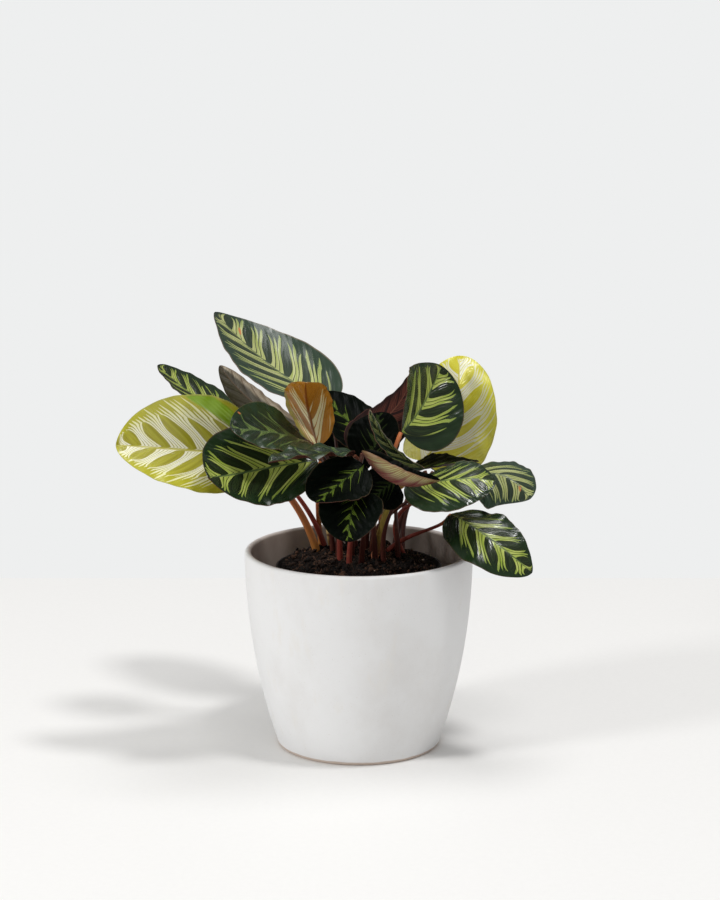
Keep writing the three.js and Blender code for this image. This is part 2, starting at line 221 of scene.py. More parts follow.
world = bpy.data.worlds.new("studio")
world.use_nodes = True
world.node_tree.nodes.clear()
start = Wire(world.node_tree)
seen = start.node("LightPath", output="Is Camera Ray")
mirrored = start.node("LightPath", output="Is Glossy Ray")
light = start.node("Background", {}, {"Color": WHITE, "Strength": SURROUNDINGS["light"]})
dim = start.node("Background", {}, {"Color": WHITE, "Strength": SURROUNDINGS["mirrored"]})
wall = start.node("Background", {}, {"Color": colour(238, 239, 239)})
both = start.node("MixShader", {}, {0: mirrored, 1: light, 2: dim})
both = start.node("MixShader", {}, {0: seen, 1: both, 2: wall})
start.node("OutputWorld", {}, {"Surface": both})
bpy.context.scene.world = world

for name, lamp in LIGHTS.items():
    place_light(name, **lamp)


# ---- Cover pot ----
# A cast clay pot that holds the nursery pot. It is white-washed outside and over the lip, left taupe
# inside, and stands on a bare foot ring. Lengths are in millimetres.
POT = {"rim": 87.5, "foot": 62.5, "height": 153.0, "curve": 2.05, "wall": 5.0, "floor": 8.0, "bevel": 2.0,
       "lip": 2.3, "wobble": 0.12}
POT_SIDES = 240
WHITE_WASH = colour(236, 236, 236)
WASH_SHADE = colour(219, 216, 213)
BARE_CLAY = colour(184, 172, 162)
LIP_CLAY = colour(198, 184, 175)
SHARPEST_BEND = 55


def skin(name, grid, maps=None, slots=None):
    """A closed skin over a grid of points (rows, columns, 3). The columns go right round, and the first and
    last rows are one point each. maps holds, by name, two values for each row and each of columns + 1
    corners; slots gives each column's material. Faces are turned outwards by the sign of the volume."""
    rows, columns = grid.shape[:2]
    inner = grid[1:-1].reshape(-1, 3)
    points = np.vstack([grid[0, :1], inner, grid[-1, :1]])
    number = np.empty((rows, columns + 1), int)
    number[1:-1, :columns] = 1 + np.arange(len(inner)).reshape(rows - 2, columns)
    number[1:-1, columns] = number[1:-1, 0]
    number[0] = 0
    number[-1] = len(points) - 1
    corner = np.arange(rows * (columns + 1)).reshape(rows, columns + 1)
    a, b, c, d = corner[:-1, :-1], corner[1:, :-1], corner[1:, 1:], corner[:-1, 1:]
    corners = np.stack([np.stack([a, b, c], -1), np.stack([a, c, d], -1)], -2)
    column = np.broadcast_to(np.arange(columns)[None, :, None], corners.shape[:3]).reshape(-1)
    corners = corners.reshape(-1, 3)
    triangles = number.reshape(-1)[corners]
    real = (triangles != np.roll(triangles, 1, axis=1)).all(1)
    corners, triangles, column = corners[real], triangles[real], column[real]
    p, q, r = (points[triangles[:, k]] for k in range(3))
    if np.einsum("ij,ij->i", p, np.cross(q, r)).sum() < 0:
        corners, triangles = corners[:, ::-1], triangles[:, ::-1]
    mesh = bpy.data.meshes.new(name)
    mesh.from_pydata(points, [], triangles)
    for map_name, values in (maps or {}).items():
        layer = mesh.uv_layers.new(name=map_name)
        layer.uv.foreach_set("vector", values.reshape(-1, 2)[corners].reshape(-1).astype(np.float32))
    if slots is not None:
        mesh.polygons.foreach_set("material_index", np.asarray(slots)[column].astype(np.int32))
    mesh.shade_smooth()
    mesh.set_sharp_from_angle(angle=math.radians(SHARPEST_BEND))
    piece = placed(name, mesh)
    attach(piece, "root")
    return piece


def wall_radius(z):
    """The pot's outer radius at a height: it leans out from the foot and turns upright towards the rim."""
    return POT["rim"] - (POT["rim"] - POT["foot"]) * (1 - z / POT["height"]) ** POT["curve"]


def arc(centre, radius, start, end, count=7):
    """Points [radius, height] of a round edge from a start angle to an end angle, in degrees."""
    angle = np.radians(np.linspace(start, end, count))
    return np.stack([centre[0] + radius * np.cos(angle), centre[1] + radius * np.sin(angle)], -1)


def round_angles(sides):
    """Equal steps of angle right round, in radians."""
    return np.linspace(0, 2 * np.pi, sides, endpoint=False)


def turned(profile, sides, wobble=0.0):
    """A profile of [radius, height] turned round the axis, the radius made uneven by two slow waves."""
    angle = round_angles(sides)
    radius = profile[:, :1] * np.ones(sides)
    height = profile[:, 1:] * np.ones(sides)
    uneven = np.sin(2 * angle + 0.6) * np.cos(height / 31) + 0.6 * np.sin(5 * angle - height / 17)
    radius = radius + wobble * uneven * (radius > 1)
    return np.stack([radius * np.cos(angle), radius * np.sin(angle), height], -1)


lip = POT["lip"]
levels = POT["bevel"] + (POT["height"] - lip - POT["bevel"]) * np.linspace(0, 1, 46)
depths = np.linspace(POT["height"] - lip, POT["floor"] + POT["bevel"] + 1, 36)
pot_profile = np.vstack([
    [[0, 0], [30, 0], [POT["foot"] - POT["bevel"] - 1.2, 0]],
    arc((wall_radius(POT["bevel"]) - POT["bevel"], POT["bevel"]), POT["bevel"], -90, -15),
    np.stack([wall_radius(levels[1:]), levels[1:]], -1),
    arc((POT["rim"] - lip, POT["height"] - lip), lip, 15, 90),
    arc((POT["rim"] - POT["wall"] + lip, POT["height"] - lip), lip, 90, 165),
    np.stack([wall_radius(depths) - POT["wall"], depths], -1),
    [[wall_radius(POT["floor"]) - POT["wall"] - 3, POT["floor"]], [20, POT["floor"]], [0, POT["floor"]]],
])
along = np.concatenate([[0], np.cumsum(np.hypot(*np.diff(pot_profile, axis=0).T))])
crest = along[np.argmax(pot_profile[:, 1])]
inside = np.clip((along - crest + 2.0) / 6.0, 0, 1)
pot_map = np.broadcast_to(
    np.stack([inside, along / along[-1]], -1)[:, None], (len(along), POT_SIDES + 1, 2)
)
cover_pot = skin("white_cover_pot", turned(pot_profile, POT_SIDES, POT["wobble"]) * MM, {"wall": pot_map})

white_clay, start, spot = new_material("white_washed_clay")
bare = start.node("UVMap", {"uv_map": "wall"}).part("X")
height = spot.part("Z")
cloud = start.noise(spot, 16.0, 5.0, 0.62, (1.0, 1.0, 0.75))
wipe = start.noise(spot, 70.0, 4.0, 0.6, (1.0, 1.0, 0.35))
speck = start.noise(spot, 950.0, 2.0)
washed = (cloud.step(0.42, 0.72) * 0.4).blend(WHITE_WASH, WASH_SHADE)
washed = (wipe.step(0.56, 0.72) * 0.45).blend(washed, colour(232, 229, 224))
washed = (speck.step(0.66, 0.78) * 0.35).blend(washed, colour(196, 188, 178))
foot_ring = (height + (wipe - 0.5) * 0.0016).step(0.0030, 0.0020)
washed = (foot_ring * 0.75).blend(washed, colour(190, 166, 146))
ragged = bare + (wipe - 0.5) * 0.5
lipped = (ragged.step(0.12, 0.5) * 0.7).blend(washed, LIP_CLAY)
taupe = cloud.step(0.3, 0.7).blend(BARE_CLAY, colour(164, 150, 140))
finished = ragged.step(0.55, 0.95).blend(lipped, taupe)
relief = wipe * 0.5 + speck * 0.25 + cloud * 0.4
finish_material(start, {
    "Base Color": finished,
    "Roughness": 0.62 + cloud * 0.25,
    "Specular IOR Level": 0.3,
    "Normal": start.bump(relief, 0.22, 0.0009),
})
cover_pot.data.materials.append(white_clay)
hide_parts("cover_pot")

# ---- Nursery pot ----
# A thin black plastic growing pot with a banded rim, formed in one piece and dull with dust. It stands
# loose inside the cover pot, and its shape is the frame's own solid.
black_plastic, start, spot = new_material("dusty_black_plastic")
dust = start.noise(spot, 90.0, 4.0, 0.65)
scuff = start.noise(spot, 500.0, 2.0, 0.5, (1.0, 1.0, 0.2))
finish_material(start, {
    "Base Color": (dust.step(0.35, 0.8) * 0.6).blend(colour(30, 28, 27), colour(74, 62, 52)),
    "Roughness": 0.45 + dust * 0.35,
    "Normal": start.bump(scuff, 0.2, 0.0003),
})
nursery_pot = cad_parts["nursery_pot"]
nursery_pot.data.materials.clear()
nursery_pot.data.materials.append(black_plastic)

# ---- Potting soil ----
# Dark chunky peat poured in round the roots and heaped towards the stalks: one lumpy block, with loose
# crumbs, pale bits and fibres lying on top.
SOIL = {"edge": 138.0, "crown": 7.0, "clump": (-3.0, 16.0), "lump": 1.8, "shoulder": 12.0}
NURSERY = {"rim": 64.0, "foot": 46.0, "base": 9.0, "top": 140.0, "wall": 1.2, "gap": 1.5}
CRUMBS = {"count": 2600, "smallest": 0.5, "largest": 2.6, "lift": 0.25, "shades": (0.0, 0.8)}
PALE_BITS = {"count": 46, "smallest": 0.5, "largest": 1.5, "lift": 0.5, "shades": (0.9, 1.0)}
FIBRES = {"count": 420, "shortest": 4, "longest": 15, "thinnest": 0.12, "thickest": 0.34}
LATTICE = 128
chance = np.random.default_rng(41)


def value_noise(x, y, size, seed):
    """Noise from -1 to 1: random heights at the corners of squares of a size, joined by smooth steps."""
    lattice = np.random.default_rng(seed).uniform(-1, 1, (LATTICE, LATTICE))
    u, w = x / size + LATTICE // 2, y / size + LATTICE // 2
    i, j = np.floor(u).astype(int), np.floor(w).astype(int)
    f, g = u - i, w - j
    f, g = f * f * (3 - 2 * f), g * g * (3 - 2 * g)
    i, j = i % (LATTICE - 1), j % (LATTICE - 1)
    near = lattice[i, j] * (1 - f) + lattice[i + 1, j] * f
    far = lattice[i, j + 1] * (1 - f) + lattice[i + 1, j + 1] * f
    return near * (1 - g) + far * g


def soil_height(x, y):
    """The heap: a crown round the clump, with lumps from two crossing waves, as on the frame's solid."""
    away = np.hypot(x - SOIL["clump"][0], y - SOIL["clump"][1]) / NURSERY["rim"]
    bumps = np.sin(x / 3.2 + 1.3) * np.cos(y / 3.7) + 0.8 * np.sin(x / 6 - y / 2.8 + 2)
    return SOIL["edge"] + SOIL["crown"] * np.maximum(0, 1 - away * away) + SOIL["lump"] * bumps


def nursery_radius(z):
    """The nursery pot's outer radius at a height."""
    share = (z - NURSERY["base"]) / (NURSERY["top"] - NURSERY["base"])
    return NURSERY["foot"] + (NURSERY["rim"] - NURSERY["foot"]) * share


def soil_top(x, y):
    """The heap with three sizes of finer clods added."""
    coarse = 1.1 * value_noise(x, y, 4.3, 3)
    medium = 0.7 * value_noise(x, y, 1.9, 5)
    fine = 0.35 * value_noise(x, y, 0.9, 7)
    return soil_height(x, y) + coarse + medium + fine


soil_low = NURSERY["base"] + NURSERY["wall"] + 0.5
shoulder = SOIL["edge"] - SOIL["shoulder"]
soil_rim = nursery_radius(shoulder) - NURSERY["wall"] - NURSERY["gap"]
soil_foot = nursery_radius(soil_low) - NURSERY["wall"] - NURSERY["gap"]
ring = np.linspace(1, 0, 130)
soil_profile = np.vstack([
    [[0, soil_low], [soil_foot, soil_low], [soil_rim, shoulder]],
    np.stack([soil_rim * ring, np.full(130, SOIL["edge"])], -1),
])
soil_grid = turned(soil_profile, 300)
top = soil_grid[3:]
top[..., 2] = soil_top(top[..., 0], top[..., 1])
soil = skin("peat_soil", soil_grid * MM)


def scattered(count, spread):
    """Random places on the soil, spread evenly over a disc of radius spread."""
    angle = chance.uniform(0, 2 * np.pi, count)
    radius = spread * np.sqrt(chance.uniform(0, 1, count))
    return radius * np.cos(angle), radius * np.sin(angle)


def turns(count):
    """Random turns in space as three by three matrices, each from a random unit quaternion."""
    w, x, y, z = chance.normal(size=(4, count))
    size = np.sqrt(w * w + x * x + y * y + z * z)
    w, x, y, z = w / size, x / size, y / size, z / size
    return np.stack([
        np.stack([1 - 2 * (y * y + z * z), 2 * (x * y - w * z), 2 * (x * z + w * y)], -1),
        np.stack([2 * (x * y + w * z), 1 - 2 * (x * x + z * z), 2 * (y * z - w * x)], -1),
        np.stack([2 * (x * z - w * y), 2 * (y * z + w * x), 1 - 2 * (x * x + y * y)], -1),
    ], -2)


def many(name, points, triangles, shade):
    """One mesh of many small closed pieces: points (pieces, points, 3), triangles of one piece, and a
    shade from 0 to 1 for each piece, kept as an attribute."""
    count, size = points.shape[:2]
    faces = (triangles[None] + size * np.arange(count)[:, None, None]).reshape(-1, 3)
    mesh = bpy.data.meshes.new(name)
    mesh.from_pydata(points.reshape(-1, 3), [], faces)
    layer = mesh.attributes.new("shade", "FLOAT", "POINT")
    layer.data.foreach_set("value", np.repeat(shade, size).astype(np.float32))
    mesh.shade_smooth()
    piece = placed(name, mesh)
    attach(piece, "root")
    return piece


def ball(rings, sides):
    """Points and triangles of a unit ball: two poles with rings of points between them."""
    polar = np.linspace(0, np.pi, rings + 2)[1:-1, None]
    angle = round_angles(sides)
    middle = np.stack(np.broadcast_arrays(
        np.sin(polar) * np.cos(angle), np.sin(polar) * np.sin(angle), np.cos(polar)), -1).reshape(-1, 3)
    points = np.vstack([[[0, 0, 1]], middle, [[0, 0, -1]]])
    k = np.arange(sides)
    after = (k + 1) % sides
    caps = [np.stack([np.zeros(sides, int), 1 + k, 1 + after], -1)]
    for row in range(rings - 1):
        low = 1 + row * sides
        caps.append(np.stack([low + k, low + sides + k, low + sides + after], -1))
        caps.append(np.stack([low + k, low + sides + after, low + after], -1))
    low = 1 + (rings - 1) * sides
    caps.append(np.stack([low + k, np.full(sides, len(points) - 1), low + after], -1))
    return points, np.vstack(caps)


ball_points, ball_triangles = ball(3, 6)


def crumbs(name, count, smallest, largest, lift, shades):
    """Crumbs of soil: balls with each point moved in or out by a random factor, turned and laid on top."""
    shade = chance.uniform(*shades, count)
    x, y = scattered(count, soil_rim - 1.5)
    size = smallest + (largest - smallest) * chance.uniform(0, 1, count) ** 2.5
    rough = 1 + chance.uniform(-0.32, 0.32, (count, len(ball_points), 1))
    squash = chance.uniform(0.45, 1.0, (count, 1, 3))
    shaped = np.einsum("nij,npj->npi", turns(count), ball_points[None] * rough * squash)
    centre = np.stack([x, y, soil_top(x, y) + lift * size], -1)
    return many(name, (centre[:, None] + shaped * size[:, None, None]) * MM, ball_triangles, shade)


def fibres(name, count, shortest, longest, thinnest, thickest):
    """Peat fibres lying across the soil: four-sided strands round an arc, thinner towards both ends."""
    rings, sides = 7, 4
    x, y = scattered(count, soil_rim - 5)
    heading = chance.uniform(0, 2 * np.pi, count)[:, None]
    length = chance.uniform(shortest, longest, count)[:, None]
    bend = chance.uniform(-0.9, 0.9, count)[:, None]
    share = np.linspace(-0.5, 0.5, rings)[None]
    turn = heading + bend * share
    px = x[:, None] + length * share * np.cos(turn)
    py = y[:, None] + length * share * np.sin(turn)
    tilt = np.abs(chance.uniform(-0.25, 0.25, count)[:, None])
    tilt = tilt * chance.uniform(0, 1, count)[:, None]
    pz = soil_top(px, py) + 0.3 + length * (share + 0.5) * tilt
    middle = np.stack([px, py, pz], -1)
    girth = chance.uniform(thinnest, thickest, count)[:, None, None] * (1 - 1.2 * np.abs(share[..., None]))
    angle = round_angles(sides)
    sideways = np.stack([-np.sin(turn), np.cos(turn), np.zeros_like(turn)], -1)
    upward = np.array([0.0, 0.0, 1.0])
    hoop = (middle[:, :, None] + girth[:, :, None] * (
        np.cos(angle)[:, None] * sideways[:, :, None] + np.sin(angle)[:, None] * upward))
    points = np.concatenate([middle[:, :1], hoop.reshape(count, -1, 3), middle[:, -1:]], 1)
    _, triangles = ball(rings, sides)
    return many(name, points * MM, triangles[:, ::-1], chance.uniform(0.5, 1.0, count) * 0.85)


crumb_piece = crumbs("soil_crumbs", **CRUMBS)
pale_piece = crumbs("soil_pale_bits", **PALE_BITS)
fibre_piece = fibres("soil_fibres", **FIBRES)

peat, start, spot = new_material("peat")
clod = start.noise(spot, 260.0, 4.0, 0.65)
dusting = start.noise(spot, 1400.0, 2.0, 0.6)
dark = clod.step(0.35, 0.8).blend(colour(9, 7, 6), colour(38, 27, 21))
brown = (dusting.step(0.58, 0.78) * 0.5).blend(dark, colour(90, 64, 48))
finish_material(start, {
    "Base Color": brown,
    "Roughness": 0.9,
    "Specular IOR Level": 0.25,
    "Normal": start.bump(clod + dusting * 0.5, 0.9, 0.0012),
})
soil.data.materials.append(peat)

bits, start, spot = new_material("peat_bits")
shade = start.node("Attribute", {"attribute_name": "shade"}, output="Fac")
speckle = start.noise(spot, 900.0, 3.0, 0.6)
stops = [(0.0, colour(9, 7, 6)), (0.45, colour(30, 21, 17)), (0.8, colour(88, 61, 45)),
         (0.9, colour(176, 148, 128)), (1.0, colour(206, 180, 164))]
tone = start.node("ValToRGB", {"stops": stops}, {"Fac": shade})
finish_material(start, {
    "Base Color": (speckle.step(0.4, 0.7) * 0.5).blend(tone, colour(34, 22, 15)),
    "Roughness": 0.85,
    "Specular IOR Level": 0.25,
    "Normal": start.bump(speckle, 0.6, 0.0004),
})
for piece in (crumb_piece, pale_piece, fibre_piece):
    piece.data.materials.append(bits)
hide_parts("soil")

# ---- Leaf blades ----
# Waxy blades about half a millimetre thick, each grown on its own stalk in one piece with it. Dark green
# ovals lie on a pale feathered ground above, and the underside is wine red.

# Lengths in millimetres and angles in degrees, as for the frame's solids. look, under and stalk name the
# colours, cells is how many dark ovals lie along each half, slant is how far the side veins lean forward,
# bands is the stretch of the rib that has pale lanes, and each stain or painted patch of shade has its kind,
# where its side vein starts, its place across, its length and its breadth. The scorch and moss kinds are
# stains of the leaf; the other two are painted shade and a painted shadow. PLAIN_LEAF has what an entry
# leaves out.
LEAVES = {
    "leaf_01": {
        "foot": (-16, 40), "base": (-26, 58, 254), "tip": (-117, 137, 317), "face": (0.4, -0.27, 0.88),
        "width": 83, "arch": -6, "nod": -4, "sway": 9, "fold": 7, "roll": (-8, 39), "twist": -20,
        "look": "ashen", "cells": 6.0, "stains_and_shade": (("scorch", 0.775, 0.3, 0.16, 0.016),)},
    "leaf_02": {
        "foot": (-25, 41), "base": (-94, 15, 247), "tip": (-155, 35, 290), "face": (0, -0.1, 1), "width": 56,
        "arch": -1, "nod": -2, "sway": 1, "fold": 9, "roll": (15, -7), "twist": -10, "bend": (2, 0),
        "stalk": "red"},
    "leaf_03": {
        "foot": (-28.5, 47), "base": (-44, 5, 246), "tip": (-106, 14, 293), "face": (-0.14, 0.96, -0.22),
        "width": 29, "arch": -3, "sway": 7, "fold": 32, "roll": (14, 14), "twist": 14, "bend": (-5, 0),
        "stalk": "rust", "look": "painted_deep_shade", "under": "rosy", "slant": 2.0,
        # The dark patch on leaf_03 is painted shade over the half of its underside that faces down.
        "stains_and_shade": (("painted_shade_patch", 0.4, 0.35, 1.0, 1.2),)},
    "leaf_04": {
        "foot": (-32, 36), "base": (-82, -5, 228), "tip": (-180, -45, 243), "face": (-0.09, -0.86, 0.51),
        "width": 89, "arch": 7, "sway": -3, "fold": 23, "roll": (7, 31), "twist": -11, "girth": 1.25,
        "stout": 1.9, "stalk": "rust", "look": "sunlit", "under": "sunlit",
        # The green patch on leaf_04's margin is a painted shadow of leaf_02 falling on it.
        "stains_and_shade": (("painted_leaf_shadow", -0.05, 0.9, 0.45, 0.12),)},
    "leaf_05": {
        "foot": (27, 42), "base": (50, 68, 208), "tip": (78, 55, 294), "face": (0.24, -0.9, 0.37),
        "width": 82, "arch": 12, "nod": 3, "sway": 7, "fold": 22, "roll": (19, 32), "twist": 17,
        "look": "pale_painted_sunlit", "under": "pale_painted_sunlit", "cells": 4.2},
    "leaf_06": {
        "foot": (15, 34), "base": (32, -17, 248), "tip": (64, 36, 289), "face": (0.47, -0.88, 0.04),
        "width": 71, "arch": -2, "nod": -2, "sway": 6, "fold": 19, "roll": (-1, 8), "twist": 20,
        "stalk": "rust", "cells": 3.4},
    "leaf_07": {
        "foot": (-2, 38), "base": (-8, 14, 229), "tip": (41, 28, 284), "face": (0.62, 0.6, -0.5),
        "width": 50, "arch": 3, "nod": 6, "sway": -2, "fold": 2, "roll": (17, 15), "twist": 41},
    "leaf_08": {
        "foot": (10.5, 6), "base": (36, -40, 214), "tip": (101, -60, 218), "face": (0.14, -0.48, 0.87),
        "width": 58, "nod": 6, "sway": 4, "fold": -10, "roll": (1, -14), "twist": -17, "bend": (4, 0),
        "girth": 1.3, "stout": 2, "stalk": "pink", "cells": 4.2},
    "leaf_09": {
        "foot": (36, 30), "base": (83, -12, 213), "tip": (128, -33, 199), "face": (0.15, -0.65, 0.74),
        "width": 57, "arch": 6, "nod": 2, "sway": -6, "fold": -19, "roll": (-10, -16), "twist": -9,
        "bend": (-30, 2), "stalk": "red", "look": "ashen", "cells": 3.8,
        "stains_and_shade": (("scorch", 0.8, 0.05, 0.12, 0.03),)},
    "leaf_10": {
        "foot": (18, 28), "base": (70, -25, 186), "tip": (128, -67, 151), "face": (0.12, -0.69, 0.72),
        "width": 51, "arch": 12, "sway": 5, "fold": -9, "roll": (5, -6), "twist": -3, "wave": 1.5,
        "climb": 0.3, "stalk": "red", "cells": 4.4, "bands": (0.12, 1.0)},
    "leaf_11": {
        "foot": (11, 22), "base": (49, -25, 221), "tip": (8, -36, 268), "face": (-0.2, -1, 0.1), "width": 20,
        "arch": -3, "sway": -8, "fold": 60, "roll": (10, 10), "rise": 3, "bend": (-16, 0), "look": "ashen",
        "under": "pale", "slant": 1.8},
    "leaf_12": {
        "foot": (12, -2), "base": (3, -44, 238), "tip": (60, -57, 219), "face": (0, -0.45, 0.85),
        "width": 33, "arch": -4, "nod": -2, "sway": 14, "fold": 44, "roll": (-35, 120), "rise": 3,
        "bend": (5, 3), "look": "shaded", "under": "pale"},
    "leaf_13": {
        "foot": (-16, 12), "base": (-40, -24, 242), "tip": (-94, -62, 259), "face": (-0.24, -0.56, 0.8),
        "width": 54, "arch": 3, "nod": -1, "fold": 9, "roll": (-8, 28), "twist": 26, "rise": 0.2,
        "bend": (6, 3), "look": "dusky", "cells": 4.0, "stains_and_shade": (("scorch", 0.62, 0.8, 0.12, 0.02),)},
    "leaf_14": {
        "foot": (-14, -3), "base": (-31, -31, 228), "tip": (-109, -92, 229), "face": (-0.08, -0.79, 0.61),
        "width": 79, "arch": -6, "nod": -5, "sway": 6, "fold": 3, "roll": (24, 3), "twist": 13,
        "stalk": "red", "cells": 4.2, "bands": (0.05, 1.0)},
    "leaf_15": {
        "foot": (-5, 8), "base": (-4, -41, 235), "tip": (-65, -92, 239), "face": (0, -0.1, 1), "width": 28,
        "arch": 2, "fold": 42, "roll": (-60, -48), "wave": 2, "bend": (-5, 0), "look": "dusky"},
    "leaf_16": {
        "foot": (-20, 24), "base": (-31, -12, 236), "tip": (-39, -46, 290), "face": (0.22, 0.92, 0.33),
        "width": 42, "arch": 7, "nod": -2, "sway": 4, "fold": 19, "roll": (51, 5), "twist": -15,
        "bend": (1, 4), "look": "young", "under": "young", "cells": 2.0, "slant": 1.9, "bands": (-2.0, 0.5),
        "stains_and_shade": (("moss", -0.42, 0.95, 0.32, 0.5),)},
    "leaf_17": {
        "foot": (4, 48), "base": (14, 44, 220), "tip": (-30, 62, 263), "face": (0.4, -0.66, 0.5),
        "width": 54, "arch": 1, "nod": -1, "fold": 4, "roll": (29, -13), "twist": -5, "look": "painted_deep_shade"},
    "leaf_18": {
        "foot": (5, 29), "base": (11, -5, 219), "tip": (17, 8, 258), "face": (-0.32, -0.89, 0.33),
        "width": 43, "arch": 8, "nod": 1, "sway": 1, "fold": 4, "roll": (17, 8), "twist": 8,
        "look": "shaded"},
    "leaf_19": {
        "foot": (-7, -11), "base": (0, -55, 210), "tip": (-8, -82, 178), "face": (-0.14, -0.8, 0.58),
        "width": 50, "arch": 4, "nod": 1, "sway": 1, "fold": 8, "roll": (15, 19), "twist": -4,
        "bend": (-5, 0), "stalk": "red", "look": "painted_deep_shade"},
    "leaf_20": {
        "foot": (2, -5), "base": (4, -50, 229), "tip": (-30, -84, 208), "face": (-0.17, -0.55, 0.82),
        "width": 49, "arch": -3, "sway": 3, "fold": 2, "roll": (-3, 16), "twist": -19, "rise": 3,
        "bend": (-1, 2), "look": "painted_deep_shade"},
    "leaf_21": {
        "foot": (20, -4), "base": (27, -46, 216), "tip": (9, -50, 203), "face": (0.23, -0.87, 0.44),
        "width": 36, "arch": 4, "nod": -1, "fold": 7, "roll": (14, 17), "rise": 3, "bend": (-8, 0),
        "look": "shaded"},
    "leaf_22": {
        "foot": (30, 12), "base": (38, 1, 213), "tip": (91, 4, 221), "face": (0, 0, 1), "width": 44,
        "arch": 4, "nod": -2, "sway": 4, "fold": 3, "roll": (17, 17), "twist": 8, "bend": (0, -4),
        "look": "painted_deep_shade"},
    "leaf_23": {
        "foot": (-14, 50), "base": (-36, 72, 222), "tip": (-108, 118, 215), "face": (-0.2, 0.3, 0.9),
        "width": 58, "arch": 8, "fold": 10, "roll": (10, 10), "wave": 1.5},
    "leaf_24": {
        "foot": (10, 50), "base": (20, 82, 224), "tip": (30, 145, 222), "face": (0.1, 0.2, 1), "width": 50,
        "arch": 8, "fold": 10, "roll": (10, 10), "wave": 1.5},
    "leaf_25": {
        "foot": (34, 40), "base": (60, 78, 198), "tip": (100, 112, 172), "face": (0.2, 0.2, 0.9),
        "width": 48, "arch": 8, "fold": 10, "roll": (10, 10), "wave": 1.5, "bend": (-6, 0)},
    "leaf_26": {
        "foot": (-6, 46), "base": (-12, 76, 193), "tip": (-4, 85, 247), "face": (0, -0.9, 0.2), "width": 48,
        "arch": 4, "fold": -6, "roll": (-8, -8), "wave": 1.5, "look": "shaded"},
}
PLAIN_LEAF = {
    "arch": 0, "nod": 0, "sway": 0, "fold": 0, "roll": (0, 0), "twist": 0, "wave": 0, "rise": 0.9,
    "bend": (0, 0), "girth": 1, "stout": 1, "climb": 0.45, "stalk": "dark", "look": "grown",
    "under": "wine", "cells": 5.0, "slant": 1.0, "bands": (0.0, 1.0), "stains_and_shade": (),
}


def unit(vectors):
    """Vectors brought to length 1 along the last axis."""
    return vectors / np.linalg.norm(vectors, axis=-1, keepdims=True)


def midrib(leaf, t):
    """Point, direction and upper-side normal of the rib at shares t of its length: the chord, bowed to the
    upper side and sideways by a parabola and near the tip by a cubic, then turned by the twist."""
    base = np.array(leaf["base"], float)
    chord = np.array(leaf["tip"], float) - base
    ahead = unit(chord)
    up = np.array(leaf["face"], float)
    up = unit(up - ahead * (up @ ahead))
    bow = up * leaf["arch"] + np.cross(ahead, up) * leaf["sway"]
    t = np.asarray(t, float)[..., None]
    point = base + chord * t + bow * 4 * t * (1 - t) + up * leaf["nod"] * 6.75 * t * t * (1 - t)
    direction = unit(chord + bow * 4 * (1 - 2 * t) + up * leaf["nod"] * 6.75 * (2 * t - 3 * t * t))
    normal = unit(up - direction * (direction @ up)[..., None])
    angle = -np.radians(leaf["twist"]) * (t - 0.5)
    turned_normal = normal * np.cos(angle) + np.cross(direction, normal) * np.sin(angle)
    return point, direction, turned_normal


def outline(t):
    """Half width as a share of the widest: t to the power 0.5 by 1 - t to the power 0.6, so that it is
    greatest at 5 elevenths of the length, scaled to reach 1 there."""
    widest = 0.5 / 1.1
    return (t ** 0.5 * (1 - t) ** 0.6) / (widest ** 0.5 * (1 - widest) ** 0.6)


def blade_middle(leaf, t, v):
    """Points of the blade's middle surface at shares t along it and v across it, -1 to 1: from the rib each
    half leaves at the fold angle and turns on by the roll angle, so its section is an arc, with waves that
    grow to the margin."""
    point, direction, normal = midrib(leaf, t)
    side = np.cross(direction, normal)
    share = outline(t)
    half = leaf["width"] / 2 * share
    fold = math.radians(leaf["fold"])
    roll = np.radians(np.where(v < 0, leaf["roll"][0], leaf["roll"][1])) * share
    roll = np.where(np.abs(roll) < 1e-4, 1e-4, roll)
    end = fold + roll * np.abs(v)
    out = np.sign(v) * half * (np.sin(end) - math.sin(fold)) / roll
    wave = leaf["wave"] * share * v * v * np.sin(2 * np.pi * (3 * t + np.where(v > 0, 0.37, 0)))
    rise = half * (math.cos(fold) - np.cos(end)) / roll + wave
    return point + side * out[..., None] + normal * rise[..., None]


BLADE_ROWS, BLADE_COLUMNS = 112, 56
SIDE_VEINS = 28
HALF_THICK, MARGIN_LOSS = 0.3, 0.14
RIB_DEPTH, RIB_GROOVE = 1.0, 0.35
PUFF = {"veins": 0.11, "ovals": 0.3}
RIPPLE = {"slow": 0.55, "fast": 0.3}
NEAR = 5e-4

rows = (1 - np.cos(np.linspace(0, np.pi, BLADE_ROWS + 1))) / 2
columns = np.linspace(-1, 1, BLADE_COLUMNS + 1)
ROW, COLUMN = np.meshgrid(rows, columns, indexing="ij")


def vein_share(leaf, t, v):
    """Where along the rib the side vein through (t, v) starts: t less slant times the distance from the
    rib and its square, since side veins lean forward and bend to the tip."""
    length = np.linalg.norm(np.subtract(leaf["tip"], leaf["base"]))
    away = np.abs(v) * outline(t) * leaf["width"] / 2 / length
    return t - leaf["slant"] * (0.95 * away + 0.9 * away * away)


